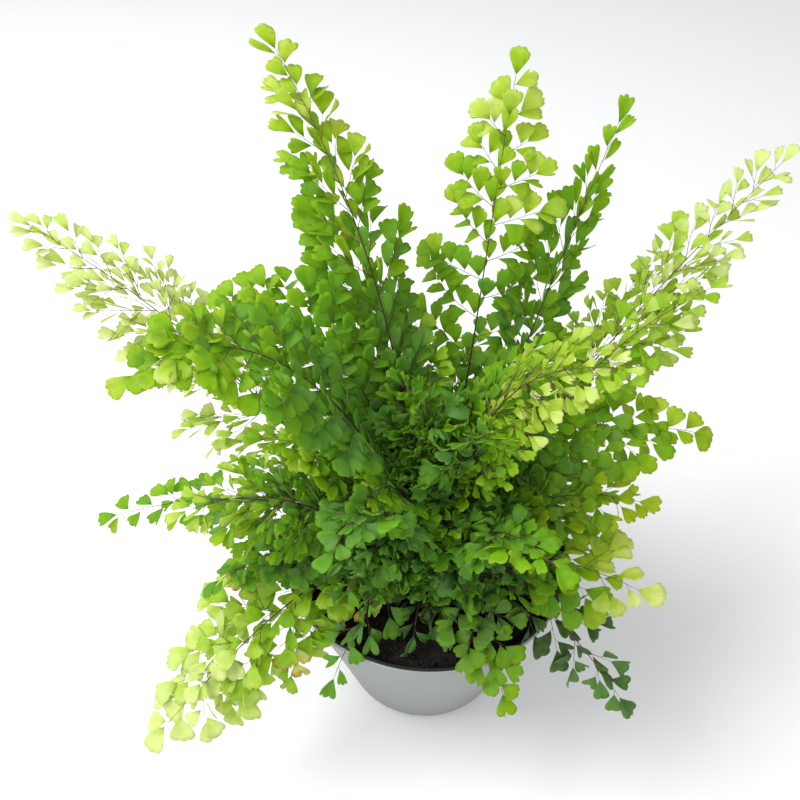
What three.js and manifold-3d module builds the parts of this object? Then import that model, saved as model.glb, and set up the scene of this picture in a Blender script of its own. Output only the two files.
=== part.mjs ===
// A maidenhair fern in its nursery pot: the pot, the potting soil, the rootstock that lies in the
// soil, and one solid for each frond. Millimetres, +Z up, origin at the centre of the pot's base.

import * as THREE from 'three';
import { mergeVertices } from 'three/addons/utils/BufferGeometryUtils.js';
import Module from 'manifold-3d';

const wasm = await Module();
wasm.setup();

const RADIANS = Math.PI / 180;

// ---------------------------------------------------------------- driving dimensions

// Pot, a tapered cup with a low stepped rim and drain holes in its floor.
const POT_HEIGHT = 100;
const POT_TOP_RADIUS = 75;
const POT_BASE_RADIUS = 46;
const POT_WALL = 1.4;
const POT_FLOOR = 1.6;
const POT_SIDES = 40;
const BASE_CORNER = 4;
const RIM_HEIGHT = 3;
const RIM_STEP = 1.2;
const LIP_ROUND = 0.7;
const DRAIN_HOLES = 6;
const DRAIN_RADIUS = 4;
const DRAIN_CIRCLE = 28;

// Soil, filled to a little under the rim.
const GAP = 0.3;
const SOIL_LEVEL = 94;
const SOIL_SHOULDER = 3;
const SOIL_LUMP = 1.3;
const SOIL_SIDES = 28;
const SOIL_RINGS = [60, 51, 42, 33];

// Rootstock, a low cone on a round underside, sunk in the soil.
const CROWN_RADIUS = 30;
const CROWN_TOP = 101;
const CROWN_SLOPE = 0.2;
const CROWN_EDGE = 92;
const CROWN_BOTTOM = 84;
const CROWN_SIDES = 16;

// Stems. Each stands in a socket of the rootstock, the more upright ones nearer its middle.
const STEM_WIDTH = 1.5;
const RIB_WIDTH = 1.1;
const TIP_WIDTH = 0.8;
const STEM_THICKNESS = 1.2;
const STEM_STEPS = 2;
const SHARP_BEND = 22 * RADIANS;
const SUNK_DEPTH = 5;
const SOCKET_PLAY = 0.4;
const INNERMOST_ROOT = 4;
const ROOT_SHIFT = 0.42;
const LOWER_HANDLE = 0.42;
const UPPER_HANDLE = 0.38;

// Branches and leaflets.
const BLADE_THICKNESS = 0.6;
const STALK_WIDTH = 1.3;
const STALK_SAG = 0.004;
const SHORTEST_STALK = 2;
const LONG_BRANCH = 28.5;
const LEAFLET_SHARE = 0.42;
const LONGEST_LEAFLET = 14;
const LAST_LEAFLET = 12;
const TIP_REACH = 0.25;
const TAPER = 1.4;
const LEAN_LOSS = 0.3;
const LEAST_LEAN = 49;
const PAIR_SPACING = 30;
const FEWEST_PAIRS = 2;
const MOST_PAIRS = 5;
const SIDE_ANGLE = 62 * RADIANS;
const SIDE_SEATS = [0.46, 0.72];
const CLEARANCE = 0.45;
const STAND_OFF = 1.5;
const BENDS = [0, 14, -14, 28, -28];
const LONE_LEAFLET = { leaflets: 1, reach: 13, leaflet: 13 };

// A leaflet's outer edge is a fan with a cut in it: how far ahead, aside and lifted each corner
// is, as shares of the leaflet's length.
const FAN = [[0.6, 0.43, -0.06], [1, 0.17, -0.08], [0.84, -0.05, 0], [0.93, -0.38, -0.12]];

// ---------------------------------------------------------------- the fronds

// One row for each frond that stands out: azimuth of its lean, reach from the axis, height of
// its tip above the base, rise at the rootstock, slope at the tip, sideways sway, roll of the
// blade about its rib, half its greatest width, and the lean of its lowest branches away from
// the rib. Lengths in mm, angles in degrees.
const LEADING_FRONDS = [
  [125, 129, 329, 84, 32, 0, -5, 36, 42],
  [65, 97, 329, 64, 68, 2, 8, 44, 76],
  [46, 121, 308, 60, 62, -2, 50, 32, 36],
  [28, 195, 281, 54, 38, 0, 30, 42, 42],
  [14, 150, 234, 62, 12, 6, 25, 32, 55],
  [165, 193, 270, 54, 28, 0, -30, 46, 48],
  [118, 102, 268, 76, 34, 6, 0, 30, 45],
  [205, 130, 258, 82, -38, 0, -24, 34, 66],
  [172, 103, 238, 86, -25, -8, -32, 38, 72],
  [5, 139, 168, 72, -30, 0, 25, 30, 64],
  [-13, 110, 158, 66, -18, 0, 30, 30, 62],
  [-30, 119, 136, 52, -6, 0, 25, 32, 60],
  [-41, 129, 88, 58, -44, -3, 25, 28, 48],
  [181, 168, 124, 55, -22, 0, -25, 24, 50],
  [200, 124, 171, 58, -22, 0, -22, 34, 62],
  [216, 163, 78, 56, -34, 1, -25, 41, 56],
  [-36, 92, 266, 80, 12, 0, 35, 32, 60],
  [-68, 96, 86, 62, -62, 0, 10, 24, 58],
  [-121, 94, 88, 62, -60, 0, -10, 20, 50],
];
const LEADING_BARE = 0.4;

// Start of every draw below, and the fronds turned by a few degrees to clear their neighbours.
const SEED = 28;
const TURNED = {
  20: 3, 26: -5, 28: -6, 29: 1, 33: 5, 34: -9, 35: -8, 36: 9, 38: -1, 40: -7, 42: 3, 43: 2,
  49: -2, 52: 11, 53: 1, 57: -1,
};

// The rest fill the plant all round, in rings: how many, azimuth of the first and how far round
// they go, reach, tip height, rise, slope at the tip, half width and the bare share of the stem.
const FILLING_RINGS = [
  { count: 8, first: 38, sweep: 190, reach: 120, height: 116, rise: 52, fall: -30, width: 30,
    bare: 0.36 },
  { count: 6, first: 20, sweep: 330, reach: 92, height: 184, rise: 66, fall: -12, width: 32,
    bare: 0.34 },
  { count: 6, first: 250, sweep: 300, reach: 60, height: 206, rise: 78, fall: 5, width: 28,
    bare: 0.3 },
  { count: 8, first: 206, sweep: 150, reach: 64, height: 110, rise: 54, fall: -40, width: 20,
    bare: 0.22 },
  { count: 6, first: 214, sweep: 135, reach: 48, height: 138, rise: 68, fall: -25, width: 22,
    bare: 0.25 },
  { count: 4, first: 225, sweep: 110, reach: 36, height: 166, rise: 76, fall: 12, width: 24,
    bare: 0.3 },
];
const FILLING_LEAN = 62;

// A repeatable draw between 0 and 1 for thing a and purpose b.
function draw(a, b) {
  const wave = Math.sin((a + SEED) * 12.9898 + b * 78.233) * 43758.5453;
  return wave - Math.floor(wave);
}

function spread(a, b, size) {
  return (2 * draw(a, b) - 1) * size;
}

function frondList() {
  const fronds = LEADING_FRONDS.map((row) => {
    const [azimuth, reach, height, rise, fall, sway, roll, width, lean] = row;
    return { azimuth, reach, height, rise, fall, sway, roll, width, lean, bare: LEADING_BARE };
  });
  for (const ring of FILLING_RINGS) {
    for (let i = 0; i < ring.count; i += 1) {
      const n = fronds.length;
      fronds.push({
        azimuth: ring.first + (i * ring.sweep) / ring.count + spread(n, 1, 8)
          + (TURNED[n + 1] ?? 0),
        reach: ring.reach + spread(n, 2, 10),
        height: ring.height + spread(n, 3, 14),
        rise: ring.rise + spread(n, 4, 4),
        fall: ring.fall + spread(n, 5, 10),
        sway: spread(n, 6, 8),
        roll: spread(n, 7, 22),
        width: ring.width + spread(n, 8, 2),
        lean: FILLING_LEAN,
        bare: ring.bare,
      });
    }
  }
  return fronds;
}

// ---------------------------------------------------------------- curves and frames

function crownHeight(radius) {
  return CROWN_TOP - CROWN_SLOPE * radius;
}

function direction(azimuth, elevation) {
  const flat = Math.cos(elevation * RADIANS);
  return new THREE.Vector3(
    flat * Math.cos(azimuth * RADIANS),
    flat * Math.sin(azimuth * RADIANS),
    Math.sin(elevation * RADIANS),
  );
}

// A frond's rib is a cubic curve over its azimuth, bent sideways by its sway.
function ribCurve(frond) {
  const swung = frond.azimuth + frond.sway;
  const rootRadius = INNERMOST_ROOT + ROOT_SHIFT * (90 - frond.rise);
  const root = direction(frond.azimuth, 0).multiplyScalar(rootRadius);
  root.z = crownHeight(rootRadius);
  const tip = direction(swung, 0).multiplyScalar(frond.reach);
  tip.z = frond.height;
  const span = root.distanceTo(tip);
  const lower = root.clone()
    .addScaledVector(direction(frond.azimuth, frond.rise), LOWER_HANDLE * span);
  const upper = tip.clone().addScaledVector(direction(swung, frond.fall), -UPPER_HANDLE * span);
  return new THREE.CubicBezierCurve3(root, lower, upper, tip);
}

// Forward, left and up at a place on the rib. The blade rolls about the rib above the stem.
function frameAt(curve, frond, t) {
  const forward = curve.getTangent(t);
  const left = direction(frond.azimuth + 90, 0);
  left.addScaledVector(forward, -left.dot(forward)).normalize();
  const up = forward.clone().cross(left);
  const roll = frond.roll * RADIANS * THREE.MathUtils.smoothstep(t, 0, 0.5);
  left.applyAxisAngle(forward, roll);
  up.applyAxisAngle(forward, roll);
  return { origin: curve.getPoint(t), forward, left, up };
}

// ---------------------------------------------------------------- sheets and solids

// A sheet is a set of points with their face normal and half thickness, and the triangles
// between them. Thickened, it is a closed solid with the same triangles on both faces.
class Sheet {
  constructor() {
    this.points = [];
    this.normals = [];
    this.halves = [];
    this.triangles = [];
  }

  point(position, normal, thickness) {
    this.points.push(position);
    this.normals.push(normal.clone().normalize());
    this.halves.push(thickness / 2);
    return this.points.length - 1;
  }

  middle(a, b) {
    return this.points[a].clone().add(this.points[b]).multiplyScalar(0.5);
  }

  // Joins two rails with triangles. A rail is a list of points with their place along it.
  join(left, right) {
    let i = 0;
    let j = 0;
    while (i < left.length - 1 || j < right.length - 1) {
      const stepLeft = j === right.length - 1
        || (i < left.length - 1 && left[i + 1].at <= right[j + 1].at);
      const next = stepLeft ? left[i + 1] : right[j + 1];
      this.triangles.push([left[i].index, right[j].index, next.index]);
      i += stepLeft ? 1 : 0;
      j += stepLeft ? 0 : 1;
    }
  }

  thicken(extra = 0) {
    const count = this.points.length;
    const positions = [];
    for (const side of [1, -1]) {
      this.points.forEach((point, k) => {
        const shift = side * (this.halves[k] + extra);
        positions.push(...point.clone().addScaledVector(this.normals[k], shift).toArray());
      });
    }
    const edges = new Set();
    for (const [a, b, c] of this.triangles) {
      edges.add(`${a},${b}`).add(`${b},${c}`).add(`${c},${a}`);
    }
    const index = [];
    for (const [a, b, c] of this.triangles) {
      index.push(a, b, c, a + count, c + count, b + count);
      for (const [p, q] of [[a, b], [b, c], [c, a]]) {
        if (!edges.has(`${q},${p}`)) {
          index.push(q, p, p + count, q, p + count, q + count);
        }
      }
    }
    const geometry = new THREE.BufferGeometry();
    geometry.setAttribute('position', new THREE.Float32BufferAttribute(positions, 3));
    geometry.setIndex(index);
    return geometry;
  }
}

function solid(geometry) {
  const bare = geometry.clone();
  bare.deleteAttribute('normal');
  bare.deleteAttribute('uv');
  const merged = mergeVertices(bare, 1e-4);
  const corners = merged.index.array;
  const kept = [];
  for (let i = 0; i < corners.length; i += 3) {
    const [a, b, c] = corners.slice(i, i + 3);
    if (a !== b && b !== c && c !== a) {
      kept.push(a, b, c);
    }
  }
  return new wasm.Manifold(new wasm.Mesh({
    numProp: 3,
    vertProperties: merged.attributes.position.array,
    triVerts: new Uint32Array(kept),
  }));
}

function geometryOf(manifold) {
  const mesh = manifold.getMesh();
  const geometry = new THREE.BufferGeometry();
  geometry.setAttribute('position', new THREE.Float32BufferAttribute(mesh.vertProperties, 3));
  geometry.setIndex(Array.from(mesh.triVerts));
  return geometry;
}

// A solid with its box, which quickly rules out what lies far away.
function boxed(manifold) {
  const { min, max } = manifold.boundingBox();
  return { manifold, box: new THREE.Box3(new THREE.Vector3(...min), new THREE.Vector3(...max)) };
}

function isFree(trial, taken) {
  return taken.every((other) => !trial.box.intersectsBox(other.box)
    || trial.manifold.intersect(other.manifold).isEmpty());
}

// ---------------------------------------------------------------- leaflets and branches

// One leaflet on the edge from a to b. toward runs out along it, and across runs from a to b.
function addLeaflet(sheet, a, b, toward, across, length) {
  const origin = sheet.middle(a, b);
  const normal = across.clone().cross(toward);
  let before = b;
  for (const [ahead, aside, lift] of FAN) {
    const position = origin.clone().addScaledVector(toward, ahead * length)
      .addScaledVector(across, aside * length).addScaledVector(normal, lift * length);
    const corner = sheet.point(position, normal, BLADE_THICKNESS);
    sheet.triangles.push([a, before, corner]);
    before = corner;
  }
}

// A side branch on the edge from a to b: a thin stalk with a leaflet at its end and, on a long
// branch, one on each side. The first of the two lies away from the frond's tip.
function addBranch(sheet, a, b, branch) {
  const { forward, up, reach, leaflet, hand } = branch;
  const right = forward.clone().cross(up);
  const stalk = reach - leaflet;
  if (stalk < SHORTEST_STALK) {
    addLeaflet(sheet, a, b, forward, right, reach);
    return;
  }
  const origin = sheet.middle(a, b);
  const place = (at, aside) => {
    const fine = Math.min(1, at / LEAFLET_SHARE / reach);
    const position = origin.clone().addScaledVector(forward, at)
      .addScaledVector(right, aside * STALK_WIDTH / 2).addScaledVector(up, -STALK_SAG * at * at);
    const thickness = STEM_THICKNESS + (BLADE_THICKNESS - STEM_THICKNESS) * fine;
    return { index: sheet.point(position, up, thickness), at };
  };
  const leftRail = [{ index: a, at: 0 }];
  const rightRail = [{ index: b, at: 0 }];
  const seats = branch.leaflets === 1 ? [] : SIDE_SEATS;
  const sideLeaflets = seats.map((share, k) => {
    const side = k === 0 ? hand : -hand;
    const near = place(stalk * share, -side);
    const far = place(stalk * share + STALK_WIDTH, -side);
    (side > 0 ? leftRail : rightRail).push(near, far);
    return { near: near.index, far: far.index, side };
  });
  leftRail.push(place(stalk, -1));
  rightRail.push(place(stalk, 1));
  sheet.join(leftRail, rightRail);
  for (const { near, far, side } of sideLeaflets) {
    const toward = forward.clone().multiplyScalar(Math.cos(SIDE_ANGLE))
      .addScaledVector(right, -side * Math.sin(SIDE_ANGLE));
    const [from, to] = side > 0 ? [near, far] : [far, near];
    addLeaflet(sheet, from, to, toward, toward.clone().cross(up), leaflet);
  }
  addLeaflet(sheet, leftRail.at(-1).index, rightRail.at(-1).index, forward, right, leaflet);
}

// Where the side branches leave the rib, how far they reach and how many leaflets they hold.
function branchPlan(frond, curve, number) {
  const length = curve.getLength();
  const leafy = 1 - frond.bare - LAST_LEAFLET / length;
  const pairs = THREE.MathUtils.clamp(Math.round((length * leafy) / PAIR_SPACING),
    FEWEST_PAIRS, MOST_PAIRS);
  const count = 2 * pairs;
  return Array.from({ length: count }, (_, k) => {
    const along = (k + 0.4) / count;
    const reach = frond.width * (1 - (1 - TIP_REACH) * along ** TAPER);
    const long = reach > LONG_BRANCH;
    return {
      t: frond.bare + (leafy * (k + 0.5)) / count,
      hand: k % 2 === 0 ? 1 : -1,
      reach,
      leaflets: long ? 3 : 1,
      leaflet: long ? LEAFLET_SHARE * reach : Math.min(LONGEST_LEAFLET, reach),
      angle: Math.max(LEAST_LEAN, frond.lean * (1 - LEAN_LOSS * along)),
      droop: 8 + spread(number * 31 + k, 11, 10),
      twist: spread(number * 31 + k, 12, 22),
    };
  });
}

// Direction and face of a branch, with its own droop and twist.
function branchFrame(curve, frond, branch) {
  const { forward, left, up } = frameAt(curve, frond, branch.t);
  const lean = branch.angle * RADIANS;
  const toward = forward.clone().multiplyScalar(Math.cos(lean))
    .addScaledVector(left, branch.hand * Math.sin(lean));
  const hinge = toward.clone().cross(up);
  toward.applyAxisAngle(hinge, -(branch.droop + branch.bend) * RADIANS);
  const face = hinge.clone().cross(toward).applyAxisAngle(toward, branch.twist * RADIANS);
  return { forward: toward, up: face };
}

// A branch on its own, from a little way out and thickened, to try whether its place is free.
function trialBranch(curve, frond, branch, standOff) {
  const sheet = new Sheet();
  const { forward, up } = branchFrame(curve, frond, branch);
  const right = forward.clone().cross(up);
  const origin = curve.getPoint(branch.t).addScaledVector(forward, standOff);
  const [a, b] = [-1, 1].map((side) => sheet.point(
    origin.clone().addScaledVector(right, side * STALK_WIDTH / 2), up, BLADE_THICKNESS));
  addBranch(sheet, a, b, { ...branch, forward, up });
  return boxed(solid(sheet.thicken(CLEARANCE)));
}

// ---------------------------------------------------------------- one frond

// Width and thickness of the stem, which tapers into the rib and on to the tip.
function stemSection(t) {
  const low = THREE.MathUtils.clamp(t / 0.4, 0, 1);
  const high = THREE.MathUtils.clamp((t - 0.4) / 0.6, 0, 1);
  return {
    width: STEM_WIDTH + (RIB_WIDTH - STEM_WIDTH) * low + (TIP_WIDTH - RIB_WIDTH) * high,
    thickness: STEM_THICKNESS + (TIP_WIDTH - STEM_THICKNESS) * high,
  };
}

// The stem is a strip with a short edge on its side for each branch, and a leaflet on its end.
function buildFrond(frond, curve, branches) {
  const sheet = new Sheet();
  const length = curve.getLength();
  const stemPoint = (t, hand) => {
    const frame = frameAt(curve, frond, Math.max(t, 0));
    const { width, thickness } = stemSection(t);
    const position = frame.origin.addScaledVector(frame.left, hand * width / 2)
      .addScaledVector(frame.forward, Math.min(t, 0) * length);
    return { index: sheet.point(position, frame.up, thickness), at: t };
  };
  const leftRail = [];
  const rightRail = [];
  const addStation = (t) => {
    leftRail.push(stemPoint(t, 1));
    rightRail.push(stemPoint(t, -1));
  };
  addStation(-SUNK_DEPTH / length);
  for (let k = 0; k <= STEM_STEPS; k += 1) {
    addStation((branches[0].t * k) / (STEM_STEPS + 1));
  }
  const halfEdge = STALK_WIDTH / 2 / length;
  const seats = branches.map((branch, k) => {
    if (branch.missing) {
      addStation(branch.t);
      return [];
    }
    const near = stemPoint(branch.t - halfEdge, branch.hand);
    const far = stemPoint(branch.t + halfEdge, branch.hand);
    const [own, other] = branch.hand > 0 ? [leftRail, rightRail] : [rightRail, leftRail];
    own.push(near, far);
    const before = branches[k - 1]?.t ?? 0;
    if (curve.getTangent(before).angleTo(curve.getTangent(branch.t)) > SHARP_BEND) {
      other.push(stemPoint(branch.t, -branch.hand));
    }
    return branch.hand > 0 ? [near.index, far.index] : [far.index, near.index];
  });
  const last = 1 - LAST_LEAFLET / length;
  addStation(last);
  sheet.join(leftRail, rightRail);
  branches.forEach((branch, k) => {
    const [a, b] = seats[k];
    if (!branch.missing) {
      addBranch(sheet, a, b, { ...branch, ...branchFrame(curve, frond, branch) });
    }
  });
  const end = frameAt(curve, frond, last);
  addLeaflet(sheet, leftRail.at(-1).index, rightRail.at(-1).index, end.forward,
    end.left.negate(), LAST_LEAFLET);
  return sheet;
}

// A branch in a place that it finds free: it is tried as it grew, then bent, then as one short
// leaflet, and is missing where all of these would touch something. Only the foot of a branch
// touches its own stem.
function placeBranch(frond, curve, branch, stem, taken) {
  const others = taken.filter((other) => other !== stem);
  const tries = BENDS.map((bend) => ({ ...branch, bend }));
  tries.push(...BENDS.map((bend) => ({ ...branch, ...LONE_LEAFLET, bend })));
  for (const attempt of tries) {
    const whole = trialBranch(curve, frond, attempt, 0);
    const outer = trialBranch(curve, frond, attempt, STAND_OFF);
    if (isFree(whole, others) && isFree(outer, [stem])) {
      taken.push(whole);
      return attempt;
    }
  }
  return { ...branch, missing: true };
}

// ---------------------------------------------------------------- pot, soil and rootstock

function turned(profile, sides) {
  const points = profile.map(([x, y]) => new THREE.Vector2(x, y));
  return new THREE.LatheGeometry(points, sides).rotateX(Math.PI / 2);
}

// Radius of the pot's inner wall at a height.
function innerRadius(z) {
  const low = POT_BASE_RADIUS - POT_WALL;
  const high = POT_TOP_RADIUS - RIM_STEP - POT_WALL;
  return low + ((high - low) * (z - BASE_CORNER)) / (POT_HEIGHT - BASE_CORNER);
}

function buildPot() {
  const corner = [0, 30, 60, 85].map((angle) => {
    const across = BASE_CORNER * Math.sin(angle * RADIANS);
    return [POT_BASE_RADIUS - BASE_CORNER + across,
      BASE_CORNER - BASE_CORNER * Math.cos(angle * RADIANS)];
  });
  const underRim = POT_HEIGHT - RIM_HEIGHT;
  const profile = [
    [0, 0],
    ...corner,
    [innerRadius(underRim) + POT_WALL, underRim - RIM_STEP / 2],
    [POT_TOP_RADIUS, underRim],
    [POT_TOP_RADIUS, POT_HEIGHT - LIP_ROUND],
    [POT_TOP_RADIUS - LIP_ROUND, POT_HEIGHT],
    [innerRadius(POT_HEIGHT) + LIP_ROUND, POT_HEIGHT],
    [innerRadius(POT_HEIGHT), POT_HEIGHT - LIP_ROUND],
    [innerRadius(BASE_CORNER), BASE_CORNER],
    [innerRadius(BASE_CORNER) - BASE_CORNER + POT_FLOOR, POT_FLOOR],
    [0, POT_FLOOR],
  ];
  let pot = solid(turned(profile, POT_SIDES));
  for (let k = 0; k < DRAIN_HOLES; k += 1) {
    const centre = direction((k * 360) / DRAIN_HOLES, 0).multiplyScalar(DRAIN_CIRCLE);
    const drill = new THREE.CylinderGeometry(DRAIN_RADIUS, DRAIN_RADIUS, 4 * POT_FLOOR, 10)
      .rotateX(Math.PI / 2).translate(centre.x, centre.y, 0);
    pot = pot.subtract(solid(drill));
  }
  return pot;
}

function soilLump(x, y) {
  return Math.sin(x * 0.31 + 2) * Math.cos(y * 0.27) + Math.sin((x + y) * 0.83) * 0.5;
}

function buildSoil() {
  const floor = POT_FLOOR + GAP;
  const heel = BASE_CORNER + GAP;
  const shoulder = SOIL_LEVEL - SOIL_SHOULDER;
  const wallAt = (z) => innerRadius(z) - 1.5 * GAP;
  const profile = [
    [0, floor],
    [wallAt(BASE_CORNER) - BASE_CORNER, floor],
    [wallAt(heel), heel],
    [wallAt(shoulder), shoulder],
    [wallAt(shoulder) - SOIL_SHOULDER, SOIL_LEVEL],
    ...SOIL_RINGS.map((radius) => [radius, SOIL_LEVEL]),
    [0, SOIL_LEVEL],
  ];
  const geometry = turned(profile, SOIL_SIDES);
  const place = geometry.attributes.position;
  for (let k = 0; k < place.count; k += 1) {
    if (place.getZ(k) > SOIL_LEVEL - 0.5) {
      place.setZ(k, SOIL_LEVEL + SOIL_LUMP * soilLump(place.getX(k), place.getY(k)));
    }
  }
  const bed = crownUnderside(1.3 * GAP);
  const openSky = 2 * CROWN_TOP;
  bed.push([bed.at(-1)[0], openSky], [0, openSky]);
  return solid(geometry).subtract(solid(turned(bed, CROWN_SIDES)));
}

// The rootstock's underside, or its bed in the soil with some play.
function crownUnderside(play) {
  return [
    [0, CROWN_BOTTOM - play],
    [0.55 * CROWN_RADIUS, CROWN_BOTTOM + 1 - play],
    [0.9 * CROWN_RADIUS + play, CROWN_BOTTOM + 4 - play],
    [CROWN_RADIUS + play, CROWN_EDGE],
  ];
}

function buildCrown(fronds, curves) {
  const rim = 0.9 * CROWN_RADIUS;
  const profile = [...crownUnderside(0), [rim, crownHeight(rim)], [0, CROWN_TOP]];
  let crown = solid(turned(profile, CROWN_SIDES));
  fronds.forEach((frond, n) => {
    const { origin, forward, left, up } = frameAt(curves[n], frond, 0);
    const socket = new THREE.BoxGeometry(STEM_WIDTH + 2 * SOCKET_PLAY,
      STEM_THICKNESS + 2 * SOCKET_PLAY, 2 * (SUNK_DEPTH + SOCKET_PLAY));
    socket.applyMatrix4(new THREE.Matrix4().makeBasis(left, up, forward).setPosition(origin));
    crown = crown.subtract(solid(socket));
  });
  return crown;
}

// ---------------------------------------------------------------- the whole plant

const LOOKS = {
  pot: { color: 0xb9bdbf, roughness: 0.45, metalness: 0 },
  soil: { color: 0x1f1712, roughness: 0.95, metalness: 0 },
  rootstock: { color: 0x2c1d14, roughness: 0.9, metalness: 0 },
  frond: { color: 0x5f9a2c, roughness: 0.5, metalness: 0 },
};

function piece(name, geometry, look) {
  const faceted = geometry.toNonIndexed();
  faceted.computeVertexNormals();
  const mesh = new THREE.Mesh(faceted, new THREE.MeshStandardMaterial(look));
  mesh.name = name;
  return mesh;
}

const group = new THREE.Group();
const fronds = frondList();
const curves = fronds.map(ribCurve);
const pot = buildPot();
const soil = buildSoil();
group.add(piece('pot', geometryOf(pot), LOOKS.pot));
group.add(piece('soil', geometryOf(soil), LOOKS.soil));
group.add(piece('rootstock', geometryOf(buildCrown(fronds, curves)), LOOKS.rootstock));

// Every branch keeps clear of the pot, the soil, all the stems and the branches placed before it.
const plans = fronds.map((frond, n) => branchPlan(frond, curves[n], n));
const stems = fronds.map((frond, n) => {
  const bareRib = plans[n].map((branch) => ({ ...branch, missing: true }));
  return boxed(solid(buildFrond(frond, curves[n], bareRib).thicken()));
});
const taken = [boxed(pot), boxed(soil), ...stems];
fronds.forEach((frond, n) => {
  const place = (branch) => placeBranch(frond, curves[n], branch, stems[n], taken);
  const branches = plans[n].map(place);
  const sheet = buildFrond(frond, curves[n], branches);
  const name = `frond_${String(n + 1).padStart(2, '0')}`;
  group.add(piece(name, sheet.thicken(), LOOKS.frond));
});

export default group;
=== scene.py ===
"""A maidenhair fern in its nursery pot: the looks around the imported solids.

Every frond grows again along the same curve as its solid, now with a round wiry stem, more side
branches and lobed leaflets. The pot, the soil and the rootstock get finer meshes. Sizes are in
millimetres until a mesh is made, which scales them to metres.
"""
import math
from random import Random

import bpy
import numpy as np
from mathutils import Matrix, Quaternion, Vector, noise


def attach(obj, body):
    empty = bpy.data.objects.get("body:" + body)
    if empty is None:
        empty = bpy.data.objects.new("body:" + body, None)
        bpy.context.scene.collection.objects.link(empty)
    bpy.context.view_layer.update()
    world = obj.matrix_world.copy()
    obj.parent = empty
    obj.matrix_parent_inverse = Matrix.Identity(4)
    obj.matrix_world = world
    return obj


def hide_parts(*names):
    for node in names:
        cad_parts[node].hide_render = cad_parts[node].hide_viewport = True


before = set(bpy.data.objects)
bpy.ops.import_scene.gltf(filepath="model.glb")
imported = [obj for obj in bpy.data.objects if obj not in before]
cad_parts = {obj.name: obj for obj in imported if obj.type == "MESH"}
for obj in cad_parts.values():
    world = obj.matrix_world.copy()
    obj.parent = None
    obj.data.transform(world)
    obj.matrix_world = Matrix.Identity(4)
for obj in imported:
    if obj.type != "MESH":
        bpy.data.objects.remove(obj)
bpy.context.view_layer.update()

MM = 0.001

# ---------------------------------------------------------------- sizes shared with the solids

POT_HEIGHT = 100
POT_TOP_RADIUS = 75
POT_BASE_RADIUS = 46
POT_WALL = 1.4
POT_FLOOR = 1.6
BASE_CORNER = 4
RIM_HEIGHT = 3
RIM_STEP = 1.2
LIP_ROUND = 0.7
DRAIN_HOLES = 6
DRAIN_RADIUS = 4
DRAIN_CIRCLE = 28

SOIL_LEVEL = 94
SOIL_SHOULDER = 3
SOIL_LUMP = 1.3
CROWN_RADIUS = 30
CROWN_TOP = 101
CROWN_SLOPE = 0.2
CROWN_EDGE = 92
CROWN_BOTTOM = 84

SUNK_DEPTH = 5
INNERMOST_ROOT = 4
ROOT_SHIFT = 0.42
LOWER_HANDLE = 0.42
UPPER_HANDLE = 0.38
LAST_LEAFLET = 12
TIP_REACH = 0.25
TAPER = 1.4
LEAN_LOSS = 0.3

# ---------------------------------------------------------------- how fronds differ

# How a kind of frond grows. Lengths in mm, angles in degrees:
# spread: reach of its branches beside those of the solid; step and stretch: rib length from one
# side branch to the next, on the other side, and how much of its reach is added; compound: the
# reach from which a branch has branches of its own, and side: their share of its reach; dip: how
# far branches lie below the frond's face; size: length of a leaflet; fan: half the angle it
# spreads over; lobes: how many it may have; cut: how deep its notches go; thread: its stalk as a
# share of it; pitch: branch length from leaflet to leaflet, as a share of their size; stand and
# tuck: angle between a branch and its leaflets, on the side of the frond's tip and on the other;
# turn: how far the tucked ones are turned edge on; tilt: how far any leaflet turns by chance;
# light: how far it turns to the sky; sag, fold, droop, curl, ruffle and twist: how far branches
# and leaflets bend; fade: how much paler the frond's tip is than its base.
AIRY = dict(spread=1.15, step=4.8, stretch=0.11, compound=30, side=0.5, dip=8, size=(8.5, 11.5),
            fan=(20, 30), lobes=(2, 3, 3), cut=(0.1, 0.18), thread=(0.2, 0.32), pitch=0.48,
            stand=32, tuck=28, turn=20, tilt=34, light=0.25, sag=0.002, fold=0.35, droop=0.08,
            curl=0.9, ruffle=0.02, twist=0.3, fade=0.2)
WEDGE = dict(spread=1.3, step=3.8, stretch=0.115, compound=99, side=0.5, dip=8, size=(12, 15.5),
             fan=(22, 32), lobes=(3, 3, 4), cut=(0.08, 0.18), thread=(0.12, 0.22), pitch=0.34,
             stand=34, tuck=28, turn=25, tilt=30, light=0.2, sag=0.002, fold=0.3, droop=0.08,
             curl=0.8, ruffle=0.03, twist=0.35, fade=0.3)
OPEN = dict(spread=1.15, step=4.8, stretch=0.12, compound=34, side=0.5, dip=8, size=(9.5, 12.5),
            fan=(26, 36), lobes=(2, 3, 3), cut=(0.1, 0.2), thread=(0.15, 0.25), pitch=0.4,
            stand=46, tuck=38, turn=25, tilt=24, light=0.35, sag=0.003, fold=0.2, droop=0.15,
            curl=0.6, ruffle=0.03, twist=0.2, fade=0.28)
SHINGLED = dict(spread=1.15, step=4.3, stretch=0.07, compound=99, side=0.5, dip=-12,
                size=(10, 12.5), fan=(32, 41), lobes=(4, 4, 5), cut=(0.07, 0.15),
                thread=(0.05, 0.1), pitch=0.3, stand=68, tuck=42, turn=45, tilt=11, light=0.15,
                sag=0.003, fold=0.1, droop=0.15, curl=0.3, ruffle=0.03, twist=0.2, fade=0.32)
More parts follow.
